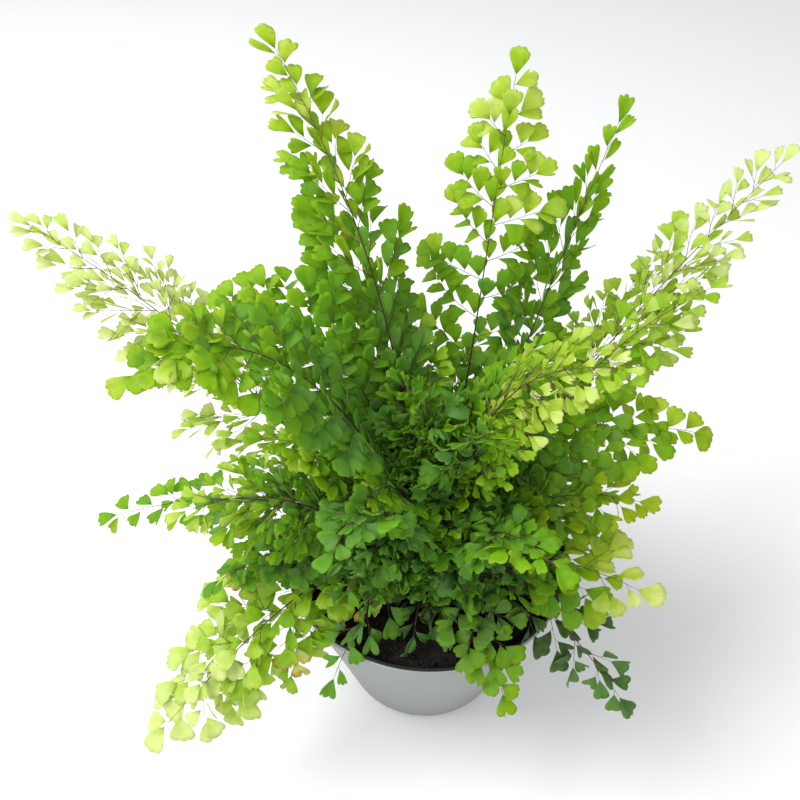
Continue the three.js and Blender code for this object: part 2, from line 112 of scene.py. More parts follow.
HABITS = {
    "airy": AIRY,
    "crisp": AIRY | dict(step=4.6, size=(9.5, 12.5), pitch=0.44, fade=0.24),
    "fine": AIRY | dict(step=4, stretch=0.1, compound=22, size=(6.5, 9), fan=(20, 32), light=0.2,
                        droop=0.2),
    "wedge": WEDGE,
    "narrow": WEDGE | dict(spread=1.2, step=4, size=(11.5, 14.5), fan=(18, 27), lobes=(2, 3, 3),
                           cut=(0.1, 0.2), stand=30, tuck=26, tilt=40, curl=1.2, twist=0.4,
                           fade=0.24),
    "open": OPEN,
    "veil": OPEN | dict(spread=1.25, step=4.4, compound=28, dip=4, size=(11, 14.5), fan=(32, 42),
                        lobes=(3, 4, 5), cut=(0.07, 0.16), pitch=0.36, stand=50, light=0.5,
                        fade=0.46),
    "tufted": OPEN | dict(step=4, compound=26, size=(8.5, 11.5), fan=(16, 27), pitch=0.38,
                          stand=34, tuck=30, light=0.25, fold=0.35, curl=1, twist=0.4,
                          fade=0.32),
    "shingled": SHINGLED,
    "flat": SHINGLED | dict(spread=1.1, step=4.4, stretch=0.14, dip=2, size=(11, 13),
                            fan=(31, 39), cut=(0.07, 0.14), thread=(0.05, 0.12), pitch=0.31,
                            stand=66, turn=50, tilt=9, light=0.1, fold=0.08, droop=0.1),
    "leafy": dict(spread=1.02, step=4.3, stretch=0.09, compound=22, side=0.6, dip=0, size=(9, 12),
                  fan=(28, 39), lobes=(2, 3, 3, 4), cut=(0.1, 0.22), thread=(0.1, 0.2),
                  pitch=0.38, stand=52, tuck=42, turn=35, tilt=24, light=0.4, sag=0.003, fold=0.2,
                  droop=0.2, curl=0.6, ruffle=0.05, twist=0.4, fade=0.22),
    "sparse": dict(spread=1.2, step=4.8, stretch=0.12, compound=99, side=0.5, dip=8, size=(9, 12),
                   fan=(27, 37), lobes=(2, 3), cut=(0.1, 0.22), thread=(0.15, 0.25), pitch=0.45,
                   stand=46, tuck=40, turn=35, tilt=32, light=0.2, sag=0.004, fold=0.35,
                   droop=0.25, curl=0.9, ruffle=0.06, twist=0.5, fade=0.15),
    "curled": dict(spread=1, step=3.4, stretch=0.06, compound=15, side=0.6, dip=2, size=(8, 12),
                   fan=(17, 30), lobes=(2, 3, 4), cut=(0.14, 0.38), thread=(0.08, 0.18),
                   pitch=0.33, stand=58, tuck=50, turn=30, tilt=60, light=0.2, sag=0.004,
                   fold=0.7, droop=0.9, curl=2.2, ruffle=0.2, twist=1.3, fade=0.15),
}

# One row for each frond that stands out: azimuth of its lean, reach, height of its tip, rise at
# the rootstock, slope at the tip, sway, roll, half its greatest width, the lean of its lowest
# branches, then its habit, its tone, from 0 for old dark leaves to 0.8 for the palest, and how
# far its green turns towards olive.
LEADING_FRONDS = [
    (125, 129, 329, 84, 32, 0, -5, 36, 42, "wedge", 0.48, 0.2),
    (65, 97, 329, 64, 68, 2, 8, 44, 76, "flat", 0.5, 0.15),
    (46, 121, 308, 60, 62, -2, 50, 32, 36, "narrow", 0.4, 0.1),
    (28, 195, 281, 54, 38, 0, 30, 42, 42, "crisp", 0.68, 0),
    (14, 150, 234, 62, 12, 6, 25, 32, 55, "open", 0.56, 0),
    (165, 193, 270, 54, 28, 0, -30, 46, 48, "airy", 0.77, 0),
    (118, 102, 268, 76, 34, 6, 0, 30, 45, "wedge", 0.43, 0.15),
    (205, 130, 258, 82, -38, 0, -24, 34, 66, "shingled", 0.42, 0.1),
    (172, 103, 238, 86, -25, -8, -32, 38, 72, "shingled", 0.4, 0),
    (5, 139, 168, 72, -30, 0, 25, 30, 64, "shingled", 0.43, 0.4),
    (-13, 110, 158, 66, -18, 0, 30, 30, 62, "leafy", 0.44, 0.7),
    (-30, 119, 136, 52, -6, 0, 25, 32, 60, "veil", 0.6, 0.2),
    (-41, 129, 88, 58, -44, -3, 25, 28, 48, "sparse", 0.04, 0.2),
    (181, 168, 124, 55, -22, 0, -25, 24, 50, "open", 0.36, 0),
    (200, 124, 171, 58, -22, 0, -22, 34, 62, "tufted", 0.5, 0.1),
    (216, 163, 78, 56, -34, 1, -25, 41, 56, "veil", 0.72, 0),
    (-36, 92, 266, 80, 12, 0, 35, 32, 60, "fine", 0.58, 0.1),
    (-68, 96, 86, 62, -62, 0, 10, 24, 58, "shingled", 0.36, 0.4),
    (-121, 94, 88, 62, -60, 0, -10, 20, 50, "sparse", 0.28, 0),
]
LEADING_BARE = 0.4

# The rings of fronds that fill the plant. Those that lean towards the front, the shaded side, get
# painted shade: a darker tone.
FILLING_RINGS = [
    dict(count=8, first=38, sweep=190, reach=120, height=116, rise=52, fall=-30, width=30,
         bare=0.36, habit="leafy", tone=0.37),
    # This ring and the next are paler partly as painted light that lifts the shade in the middle
    # of the plant.
    dict(count=6, first=20, sweep=330, reach=92, height=184, rise=66, fall=-12, width=32,
         bare=0.34, habit="leafy", tone=0.44),
    dict(count=6, first=250, sweep=300, reach=60, height=206, rise=78, fall=5, width=28,
         bare=0.3, habit="leafy", tone=0.46),
    dict(count=8, first=206, sweep=150, reach=64, height=110, rise=54, fall=-40, width=20,
         bare=0.22, habit="curled", tone=0.3),
    dict(count=6, first=214, sweep=135, reach=48, height=138, rise=68, fall=-25, width=22,
         bare=0.25, habit="curled", tone=0.32),
    dict(count=4, first=225, sweep=110, reach=36, height=166, rise=76, fall=12, width=24,
         bare=0.3, habit="curled", tone=0.38),
]
FILLING_LEAN = 62
FILLING_WARMTH = 0.05
SHADED_SIDE = (225, 320)
PAINTED_SHADE = 0.15

# How far each value of a filling frond may lie from its ring's, in the order of the draws.
FILLING_CHANCE = dict(azimuth=8, reach=10, height=14, rise=4, fall=10, sway=8, roll=22, width=2,
                      tone=0.1)

# Start of the draws shared with the solids, and the fronds turned by a few degrees to clear their
# neighbours.
SEED = 28
TURNED = {20: 3, 26: -5, 28: -6, 29: 1, 33: 5, 34: -9, 35: -8, 36: 9, 38: -1, 40: -7, 42: 3,
          43: 2, 49: -2, 52: 11, 53: 1, 57: -1}

# Share of withered leaflets on the lowest branches of a few fronds, at the left of the rim.
WITHERED = {16: 0.3, 19: 0.5}

# The young sprays at the feet of the fronds, which close the mound: how many stand by each, then
# the reach, height, rise and slope at the tip of the innermost and the outermost, half their
# width, their tone, the painted light that makes the innermost paler against the shade in the
# middle of the mound, how far they differ by chance, and how much shorter they stay where the
# soil shows in front. A power below 1 puts more of them outside.
SPRAYS = 4
SPRAY_POWER = 0.7
SPRAY_REACH = (16, 74)
SPRAY_HEIGHT = (202, 112)
SPRAY_RISE = (84, 54)
SPRAY_FALL = (25, -40)
SPRAY_WIDTH = (15, 20)
SPRAY_LEAN = 58
SPRAY_BARE = 0.3
SPRAY_TONE = (0.1, 0.36)
SPRAY_PAINTED_LIGHT = 0.12
SPRAY_CHANCE = dict(azimuth=28, height=8, sway=10, roll=15)
FRONT = (232, 292)
FRONT_CUT = 0.7


def draw(a, b):
    """A repeatable draw between 0 and 1 for thing a and purpose b, the same as for the solids."""
    wave = math.sin((a + SEED) * 12.9898 + b * 78.233) * 43758.5453
    return wave - math.floor(wave)


def spread(a, b, size):
    """A repeatable draw between -size and size."""
    return (2 * draw(a, b) - 1) * size


def frond_list():
    """Every frond in the order of the solids: those that stand out, then ring after ring."""
    names = ("azimuth", "reach", "height", "rise", "fall", "sway", "roll", "width", "lean",
             "habit", "tone", "warmth")
    fronds = [dict(zip(names, row), bare=LEADING_BARE) for row in LEADING_FRONDS]
    for ring in FILLING_RINGS:
        for i in range(ring["count"]):
            n = len(fronds)
            frond = dict(ring, azimuth=ring["first"] + i * ring["sweep"] / ring["count"], sway=0,
                         roll=0, lean=FILLING_LEAN, warmth=FILLING_WARMTH)
            for purpose, (key, size) in enumerate(FILLING_CHANCE.items(), 1):
                frond[key] += spread(n, purpose, size)
            frond["azimuth"] += TURNED.get(n + 1, 0)
            # Painted shade: fronds that lean towards the front are made darker.
            if SHADED_SIDE[0] < frond["azimuth"] % 360 < SHADED_SIDE[1]:
                frond["tone"] -= PAINTED_SHADE
            fronds.append(frond)
    return fronds


# ---------------------------------------------------------------- curves and frames

# In how many steps a rib is measured, and the share of it where its blade is fully rolled.
LENGTH_STEPS = 100
FULL_ROLL = 0.5


def crown_height(radius):
    """Height of the top of the rootstock at a distance from the axis."""
    return CROWN_TOP - CROWN_SLOPE * radius


def direction(azimuth, elevation):
    """The way towards an azimuth and an elevation in degrees."""
    azimuth, elevation = math.radians(azimuth), math.radians(elevation)
    flat = math.cos(elevation)
    return Vector((flat * math.cos(azimuth), flat * math.sin(azimuth), math.sin(elevation)))


class Rib:
    """The cubic curve of a frond, with the way forward and up at each place on it."""

    def __init__(self, frond):
        swung = frond["azimuth"] + frond["sway"]
        root_radius = INNERMOST_ROOT + ROOT_SHIFT * (90 - frond["rise"])
        root = direction(frond["azimuth"], 0) * root_radius
        root.z = crown_height(root_radius)
        tip = direction(swung, 0) * frond["reach"]
        tip.z = frond["height"]
        span = (tip - root).length
        lower = root + direction(frond["azimuth"], frond["rise"]) * LOWER_HANDLE * span
        upper = tip - direction(swung, frond["fall"]) * UPPER_HANDLE * span
        self.handles = (root, lower, upper, tip)
        self.side = direction(frond["azimuth"] + 90, 0)
        self.roll = math.radians(frond["roll"])
        steps = [self.point(k / LENGTH_STEPS) for k in range(LENGTH_STEPS + 1)]
        self.length = sum((b - a).length for a, b in zip(steps, steps[1:]))

    def point(self, t):
        a, b, c, d = self.handles
        s = 1 - t
        return a * s**3 + b * 3 * s * s * t + c * 3 * s * t * t + d * t**3

    def tangent(self, t):
        a, b, c, d = self.handles
        s = 1 - t
        return ((b - a) * s * s + (c - b) * 2 * s * t + (d - c) * t * t).normalized()

    def frame(self, t):
        forward = self.tangent(t)
        left = (self.side - forward * self.side.dot(forward)).normalized()
        up = forward.cross(left)
        eased = min(max(t / FULL_ROLL, 0), 1)
        turn = Quaternion(forward, self.roll * eased * eased * (3 - 2 * eased))
        return forward, turn @ up


def turned(forward, up, swing, dip, twist):
    """A direction swung about up, dipped away from it and twisted about itself, with its up."""
    forward = Quaternion(up, swing) @ forward
    hinge = forward.cross(up)
    forward = Quaternion(hinge, -dip) @ forward
    return forward, Quaternion(forward, twist) @ hinge.cross(forward)


# ---------------------------------------------------------------- meshes

LEAF_SLOT = 0
STEM_SLOT = 1


class Parts:
    """Points and faces gathered for one mesh. Each point carries two pairs that its material
    reads: its tone with its warmth, and where it lies in its leaflet's fan, across and outwards.
    On the lower skin of a leaflet, half is added to the warmth."""

    def __init__(self):
        self.points, self.tones, self.fans = [], [], []
        self.faces, self.slots, self.smooth = [], [], []
        self.count = 0

    def add(self, points, blocks, tones, fans=None, slots=0, flat_blocks=()):
        """Takes faces in blocks, and one material slot for all the blocks or one for each."""
        points = np.asarray(points, dtype=float)
        self.points.append(points)
        self.tones.append(np.broadcast_to(tones, (len(points), 2)))
        self.fans.append(np.zeros((len(points), 2)) if fans is None else fans)
        slots = np.broadcast_to(slots, len(blocks)).tolist()
        for k, (block, slot) in enumerate(zip(blocks, slots)):
            self.faces += (block + self.count).tolist()
            self.slots += [slot] * len(block)
            self.smooth += [k not in flat_blocks] * len(block)
        self.count += len(points)

    def build(self, name, materials):
        mesh = bpy.data.meshes.new(name)
        mesh.from_pydata(np.concatenate(self.points) * MM, [], self.faces)
        for title, values in (("Tone", self.tones), ("Fan", self.fans)):
            layer = mesh.uv_layers.new(name=title)
            corners = np.empty(len(mesh.loops), dtype=np.int32)
            mesh.loops.foreach_get("vertex_index", corners)
            layer.data.foreach_set("uv", np.concatenate(values)[corners].ravel())
        for material in materials:
            mesh.materials.append(material)
        mesh.polygons.foreach_set("material_index", self.slots)
        mesh.polygons.foreach_set("use_smooth", self.smooth)
        mesh.update()
        piece = bpy.data.objects.new(name, mesh)
        bpy.context.scene.collection.objects.link(piece)
        return piece


def tube_faces(rings, sides):
    """Faces of a closed tube whose points come ring after ring, with its two end caps."""
    ring, side = np.meshgrid(np.arange(rings - 1), np.arange(sides), indexing="ij")
    near, far = ring * sides + side, ring * sides + (side + 1) % sides
    wall = np.stack([near, far, far + sides, near + sides], -1).reshape(-1, 4)
    caps = np.stack([np.arange(sides)[::-1], np.arange(sides) + (rings - 1) * sides])
    return wall, caps


def add_tube(parts, path, radii, sides, tones, slot):
    """A round wire along a path of points. Its tones are the one at its foot and at its end."""
    forward = (path[1] - path[0]).normalized()
    side = forward.orthogonal().normalized()
    points = []
    angles = [2 * math.pi * k / sides for k in range(sides)]
    for k, (place, radius) in enumerate(zip(path, radii)):
        ahead = path[min(k + 1, len(path) - 1)] - path[max(k - 1, 0)]
        side = (side - ahead * side.dot(ahead) / ahead.length_squared).normalized()
        other = ahead.normalized().cross(side)
        points += [place + (side * math.cos(a) + other * math.sin(a)) * radius for a in angles]
    along = np.repeat(np.linspace(tones[0], tones[1], len(path)), sides)
    parts.add(points, tube_faces(len(path), sides), np.stack([along, 0 * along], -1), None, slot)


# ---------------------------------------------------------------- leaflets

COLUMNS = 16
ROWS = np.array([0.4, 0.75, 1.0])
LEAF_THICKNESS = 0.22
WARMTH_SPAN = 0.45
RIM_BLOCK = 4

# A leaflet's reach at its sides beside its middle, and how round its edge is between them.
SHOULDER = (0.58, 0.72)
EDGE_POWERS = (2.6, 0.6)

# The column next to which each notch lies, by the number of lobes, how steeply a notch is cut,
# and the share of leaflets that have one notch cut deep.
LOBES = {2: (7,), 3: (5, 11), 4: (4, 8, 12), 5: (3, 6, 10, 13)}
NOTCH_POWER = 2.2
DEEP_SHARE = 0.2

# How far a leaflet slants, in degrees, its waves, and how much of each bend of its habit it has.
SLANT = 5
WAVES = 9
FOLDING = (-0.4, 1)
DROOPING = (-0.3, 1)
RUFFLING = (0.3, 1)
CURLING = (-0.5, 1)
LEAST_CURL = 1e-4


def leaflet_faces():
    """Upper skin, lower skin and the rim between them. The first point of a skin is its foot."""
    width = COLUMNS + 1
    skin = 1 + width * len(ROWS)
    column = np.arange(COLUMNS)
    foot = np.stack([0 * column, 1 + column, 2 + column], -1)
    row, col = np.meshgrid(np.arange(len(ROWS) - 1), column, indexing="ij")
    near = 1 + row * width + col
    web = np.stack([near, near + width, near + width + 1, near + 1], -1).reshape(-1, 4)
    right = [1 + width * r for r in range(len(ROWS))]
    edge = [1 + width * (len(ROWS) - 1) + c for c in range(1, width)]
    left = [width * (r + 1) for r in reversed(range(len(ROWS) - 1))]
    loop = np.array([0, *right, *edge, *left])
    after = np.roll(loop, -1)
    rim = np.stack([after, loop, loop + skin, after + skin], -1)
    return foot, web, foot[:, ::-1] + skin, web[:, ::-1] + skin, rim


LEAFLET_FACES = leaflet_faces()


def lobed_margin(shoulder, lobes, cut_range, random):
    """How far a leaflet reaches in each direction, and how far with its notches cut."""
    across = np.linspace(-1, 1, COLUMNS + 1)
    bulge, round_off = EDGE_POWERS
    margin = shoulder + (1 - shoulder) * (1 - np.abs(across) ** bulge) ** round_off
    notches = [notch + random.randint(-1, 1) for notch in LOBES[lobes]]
    stops = (0, *notches, COLUMNS)
    depths = [0, *(random.uniform(*cut_range) for _ in notches), 0]
    if random.random() < DEEP_SHARE:
        depths[random.randrange(1, len(depths) - 1)] = 2 * cut_range[1]
    cut = margin.copy()
    for (a, b), (before, after) in zip(zip(stops, stops[1:]), zip(depths, depths[1:])):
        for k in range(a, b + 1):
            share = (k - a) / (b - a)
            depth = before * (1 - share) ** NOTCH_POWER + after * share**NOTCH_POWER
            cut[k] = margin[k] * (1 - depth)
    return across, margin, cut


def curled(y, z, curl):
    """Points of a leaflet's cross-section, rolled up about its length."""
    if abs(curl) <= LEAST_CURL:
        return y, z
    bend = curl * y
    return (1 / curl - z) * np.sin(bend), 1 / curl - (1 / curl - z) * np.cos(bend)


def leaflet_points(length, habit, random):
    """Points of a leaflet that lies along +X with its face up, and their place in its fan."""
    half_angle = math.radians(random.uniform(*habit["fan"]))
    slant = math.radians(random.gauss(0, SLANT))
    lobes = random.choice(habit["lobes"])
    across, margin, cut = lobed_margin(random.uniform(*SHOULDER), lobes, habit["cut"], random)
    rows = ROWS[:, None]
    radius = rows * (margin + (cut - margin) * rows**3) * length
    angle = across * half_angle * (1.06 - 0.1 * rows) + slant * rows**2
    x = np.concatenate([[0], (radius * np.cos(angle)).ravel()])
    y = np.concatenate([[0], (radius * np.sin(angle)).ravel()])
    out = np.concatenate([[0], (rows + 0 * angle).ravel()])
    turn = np.concatenate([[0], angle.ravel()])
    phase = random.uniform(0, 2 * math.pi)
    fold = habit["fold"] * random.uniform(*FOLDING)
    droop = habit["droop"] * random.uniform(*DROOPING)
    ruffle = habit["ruffle"] * length * random.uniform(*RUFFLING)
    curl = habit["curl"] * random.uniform(*CURLING) / (length * math.sin(half_angle))
    lift = fold * np.abs(y) - droop * x * x / length
    lift += ruffle * out**3 * np.sin(turn * WAVES + phase)
    twist = random.gauss(0, habit["twist"]) * x / length
    skins = []
    for side in (0.5, -0.5):
        sideways, z = curled(y, lift + side * LEAF_THICKNESS, curl)
        skins.append(np.stack([x, sideways * np.cos(twist) - z * np.sin(twist),
                               sideways * np.sin(twist) + z * np.cos(twist)], -1))
    fan = np.stack([np.concatenate([[0.5], np.tile(across / 2 + 0.5, len(ROWS))]), out], -1)
    return np.concatenate(skins), np.concatenate([fan, fan])


def add_leaflet(parts, foot, forward, up, length, habit, tone, random):
    """One lobed leaflet with its foot at a point. Its tone is a pair: the shade and the warmth."""
    points, fan = leaflet_points(length, habit, random)
    axes = np.array([forward, up.cross(forward), up])
    shade, warmth = tone
    half = len(points) // 2
    tones = np.empty((len(points), 2))
    tones[:, 0] = shade
    tones[:half, 1], tones[half:, 1] = WARMTH_SPAN * warmth, 0.5 + WARMTH_SPAN * warmth
    parts.add(points @ axes + np.array(foot), LEAFLET_FACES, tones, fan, LEAF_SLOT, (RIM_BLOCK,))


# ---------------------------------------------------------------- branches and fronds

# Wires: radius at the foot and the end of stems and branches, sides, steps, and their tone at the
# foot and the end, from near black at 0 to brown at 1.
STEM_RADIUS = 0.55
TIP_RADIUS = 0.11
STEM_TAPER = 1.1
STEM_SIDES = 8
STEM_STEPS = 26
STEM_TONES = (0, 0.75)
STALK_RADIUS = 0.18
STALK_SIDES = 5
STALK_STEPS = 6
STALK_TONES = (0.35, 0.8)
STALK_BOW = (2, 14)
THREAD_RADIUS = 0.085
THREAD_SIDES = 4
THREAD_TONES = (0.75, 0.9)
THREAD_SUNK = 0.5

# Shades of living and of withered leaflets, how much paler the end of a branch is, and how far
# leaflets and branches differ by chance.
DARKEST = 0.02
PALEST = 0.8
LEAST_WITHERED = 0.91
MOST_WITHERED = 0.97
END_PALER = 0.08
LEAFLET_CHANCE = 0.035
BRANCH_CHANCE = 0.03

# A branch shorter than this many leaflets is a lone leaflet, of at least this size and share of
# the reach. Small branches stand on the lower share of a long branch.
SHORTEST_BRANCH = 1.4
LONE_SIZE = 0.95
LONE_REACH = 0.85
BRANCHED_SHARE = 0.5
SMALLER = 0.92

# Leaflets along a branch: the free place before its end, as a share of their spacing, the play of
# their angle and how it closes towards the end, the mean and spread of their dip in degrees on
# the standing and the tucked side, and their sizes, with that of the last one.
END_PLACE = 0.2
ANGLE_PLAY = (0.88, 1.12)
ANGLE_CLOSING = (1.12, 0.45)
STANDING_DIP = (3, 6)
TUCKED_DIP = (14, 8)
SIZE_PLAY = (0.86, 1.08)
END_SIZE = (0.95, 1.12)

# Branches along a frond: where the lowest stand, as a share of the bare stem of the solid, the
# share of the rib beyond it with withered leaflets, how leaflets get smaller towards the tip, the
# size of the last one, and how far lean, dip, twist and reach differ by chance.
LOWEST = 0.6
WITHERED_SHARE = 0.2
SMALLER_TIP = 0.08
TIP_LEAFLET = 0.95
LEAN_CHANCE = 4
DIP_CHANCE = 7
TWIST_CHANCE = 12
REACH_PLAY = (0.92, 1.06)

FROND_SEED = 1000


def add_stalked_leaflet(parts, start, forward, up, length, habit, tone, random):
    """A leaflet on its thread of a stalk."""
    thread = length * random.uniform(*habit["thread"])
    foot = start + forward * thread
    add_tube(parts, [start, start.lerp(foot, 0.5), foot + forward * THREAD_SUNK],
             [THREAD_RADIUS] * 3, THREAD_SIDES, THREAD_TONES, STEM_SLOT)
    shade, warmth = tone
    if shade < LEAST_WITHERED:
        shade = min(max(shade + random.gauss(0, LEAFLET_CHANCE), DARKEST), PALEST)
    add_leaflet(parts, foot, forward, up, length, habit, (shade, warmth), random)


def facing(forward, up, light):
    """The up of a leaflet that leans some way towards the sky."""
    up = up + Vector((0, 0, light))
    return (up - forward * up.dot(forward)).normalized()


def stalk_path(start, forward, up, length, bow, sag):
    """The points of a stalk that bows aside and sags, and its way forward and up at each."""
    path, frames = [start.copy()], [(forward, up)]
    for _ in range(STALK_STEPS):
        forward, up = turned(forward, up, bow / STALK_STEPS, sag, 0)
        path.append(path[-1] + forward * length / STALK_STEPS)
        frames.append((forward, up))
    return path, frames


def add_branch(parts, start, forward, up, reach, hand, habit, tone, scale, random, withered=0):
    """A side branch: a stalk with leaflets on both sides by turns and one at its end. The lowest
    places of a long branch hold small branches."""
    size = random.uniform(*habit["size"]) * scale
    light = habit["light"]
    if reach < SHORTEST_BRANCH * size:
        add_stalked_leaflet(parts, start, forward, facing(forward, up, light),
                            min(size, max(LONE_REACH * reach, LONE_SIZE * size)), habit, tone,
                            random)
        return
    stalk = reach - size
    bow = math.radians(random.uniform(*STALK_BOW)) * -hand
    path, frames = stalk_path(start, forward, up, stalk, bow, habit["sag"] * stalk)
    radii = [STALK_RADIUS + (THREAD_RADIUS - STALK_RADIUS) * k / STALK_STEPS
             for k in range(STALK_STEPS + 1)]
    add_tube(parts, path, radii, STALK_SIDES, STALK_TONES, STEM_SLOT)
    count = max(2, round(stalk / (habit["pitch"] * size)))
    side = -hand
    for k in range(count):
        share = (k + 0.5) / (count + END_PLACE)
        place = min(share * STALK_STEPS, STALK_STEPS - 0.01)
        low = int(place)
        foot = path[low].lerp(path[low + 1], place - low)
        standing = side == -hand
        swing = math.radians(habit["stand"] if standing else habit["tuck"])
        swing *= random.uniform(*ANGLE_PLAY) * (ANGLE_CLOSING[0] - ANGLE_CLOSING[1] * share)
        tilt = random.gauss(0 if standing else side * habit["turn"], habit["tilt"])
        dip = random.gauss(*(STANDING_DIP if standing else TUCKED_DIP))
        out, above = turned(*frames[low], side * swing, math.radians(dip), math.radians(tilt))
        if reach > habit["compound"] and share < BRANCHED_SHARE:
            add_branch(parts, foot, out, above, habit["side"] * reach, side, habit, tone,
                       SMALLER * scale, random)
        else:
            shade = min(tone[0] + END_PALER * share + random.gauss(0, BRANCH_CHANCE), PALEST)
            if random.random() < withered:
                shade = random.uniform(LEAST_WITHERED, MOST_WITHERED)
            add_stalked_leaflet(parts, foot, out, facing(out, above, light),
                                size * random.uniform(*SIZE_PLAY), habit, (shade, tone[1]),
                                random)
        side = -side
    forward, up = frames[-1]
    add_stalked_leaflet(parts, path[-1], forward, facing(forward, up, light),
                        size * random.uniform(*END_SIZE), habit,
                        (min(tone[0] + END_PALER, PALEST), tone[1]), random)


def branch_reach(frond, t, low, last):
    """How far a side branch reaches from the rib at t: most where the solid's branches begin."""
    bare = frond["bare"]
    if t < bare:
        return frond["width"] * (0.5 + 0.5 * (t - low) / (bare - low))
    return frond["width"] * (1 - (1 - TIP_REACH) * ((t - bare) / (last - bare)) ** TAPER)


def grow(parts, frond, random, withered=0):
    """A frond: its wiry stem, its side branches by turns left and right, and its last leaflet."""
    habit = HABITS[frond["habit"]]
    rib = Rib(frond)
    last = 1 - LAST_LEAFLET / rib.length
    path = [rib.point(0) - rib.tangent(0) * SUNK_DEPTH]
    path += [rib.point(last * k / STEM_STEPS) for k in range(STEM_STEPS + 1)]
    radii = [STEM_RADIUS + (TIP_RADIUS - STEM_RADIUS) * (k / STEM_STEPS) ** STEM_TAPER
             for k in range(STEM_STEPS + 1)]
    add_tube(parts, path, [STEM_RADIUS, *radii], STEM_SIDES, STEM_TONES, STEM_SLOT)

    low = LOWEST * frond["bare"]
    place, hand = low * rib.length, 1
    while place < last * rib.length:
        t = place / rib.length
        reach = habit["spread"] * branch_reach(frond, t, low, last)
        place += habit["step"] + habit["stretch"] * reach
        along = max(0, (t - frond["bare"]) / (last - frond["bare"]))
        forward, up = rib.frame(t)
        lean = frond["lean"] * (1 - LEAN_LOSS * along) + random.gauss(0, LEAN_CHANCE)
        dip = math.radians(random.gauss(habit["dip"], DIP_CHANCE))
        twist = math.radians(random.gauss(0, TWIST_CHANCE))
        out, face = turned(forward, up, hand * math.radians(lean), dip, twist)
        shade = frond["tone"] + habit["fade"] * (along - 0.5) + random.gauss(0, BRANCH_CHANCE)
        tone = (min(shade, PALEST), frond["warmth"])
        scale = 1 - SMALLER_TIP * max(0, along - 0.5)
        add_branch(parts, rib.point(t), out, face, reach * random.uniform(*REACH_PLAY), hand,
                   habit, tone, scale, random, withered if along < WITHERED_SHARE else 0)
        hand = -hand
    forward, up = rib.frame(last)
    tone = (min(frond["tone"] + 0.5 * habit["fade"], PALEST), frond["warmth"])
    add_stalked_leaflet(parts, rib.point(last), forward, up, TIP_LEAFLET * habit["size"][1],
                        habit, tone, random)


def between(pair, share):
    return pair[0] + (pair[1] - pair[0]) * share


def spray(host, random):
    """A young frond that stands by another one."""
    share = random.random() ** SPRAY_POWER
    azimuth = host["azimuth"] + random.gauss(0, SPRAY_CHANCE["azimuth"])
    shorter = FRONT_CUT if FRONT[0] < azimuth % 360 < FRONT[1] else 1
    # Painted light: the innermost sprays get a paler tone.
    return dict(azimuth=azimuth, reach=shorter * between(SPRAY_REACH, share),
                height=between(SPRAY_HEIGHT, share) + random.gauss(0, SPRAY_CHANCE["height"]),
                rise=between(SPRAY_RISE, share), fall=between(SPRAY_FALL, share),
                sway=random.gauss(0, SPRAY_CHANCE["sway"]),
                roll=random.gauss(0, SPRAY_CHANCE["roll"]),
                width=random.uniform(*SPRAY_WIDTH), lean=SPRAY_LEAN, bare=SPRAY_BARE,
                habit="curled", tone=random.uniform(*SPRAY_TONE) + SPRAY_PAINTED_LIGHT * (1 - share),
                warmth=0)


def build_frond(frond, number, materials):
    """The piece that takes the place of one solid: its frond and the young sprays at its foot."""
    random = Random(FROND_SEED + number)
    parts = Parts()
    grow(parts, frond, random, WITHERED.get(number, 0))
    for _ in range(SPRAYS):
        grow(parts, spray(frond, random), random)
    name = f"frond_{number:02d}"
    piece = parts.build(f"{name}_leaves", materials)
    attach(piece, "root")
    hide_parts(name)


# ---------------------------------------------------------------- pot

PLAIN_TONE = (0.5, 0.5)
POT_SIDES = 160
OUTSIDE_SLOT = 0
INSIDE_SLOT = 1
RIM_ROUND = 0.3
FOOT_WIDTH = 8
DRILL_REACH = 5
DRILL_SIDES = 24

# How many of the outer steps of the lip's round are black.
DARK_STEPS = 2


def lathe(parts, profile, sides, slots=0):
    """A closed turned body whose profile runs from axis to axis. Slots is one material slot, or
    one for each stretch of the profile."""
    angles = np.arange(sides) * 2 * math.pi / sides
    rings = np.array([[(r * math.cos(a), r * math.sin(a), z) for a in angles]
                      for r, z in profile[1:-1]])
    count = len(rings)
    centres = [(0, 0, profile[0][1]), (0, 0, profile[-1][1])]
    side = np.arange(sides)
    after = (side + 1) % sides
    end, bottom, top = (count - 1) * sides, count * sides, count * sides + 1
    blocks = [np.stack([after, side, np.full(sides, bottom)], -1)]
    for k in range(count - 1):
        a, b = k * sides + side, k * sides + after
        blocks.append(np.stack([a, b, b + sides, a + sides], -1))
    blocks.append(np.stack([end + side, end + after, np.full(sides, top)], -1))
    points = np.concatenate([rings.reshape(-1, 3), centres])
    parts.add(points, blocks, PLAIN_TONE, slots=slots)


def inner_radius(z):
    """Radius of the inside of the pot at a height."""
    low = POT_BASE_RADIUS - POT_WALL
    high = POT_TOP_RADIUS - RIM_STEP - POT_WALL
    return low + (high - low) * (z - BASE_CORNER) / (POT_HEIGHT - BASE_CORNER)


def arc(centre, radius, start, end, steps):
    """Points of a round corner in a profile, from one angle to another in degrees."""
    angles = [math.radians(start + (end - start) * k / steps) for k in range(steps + 1)]
    return [(centre[0] + radius * math.cos(a), centre[1] + radius * math.sin(a))
            for a in angles]


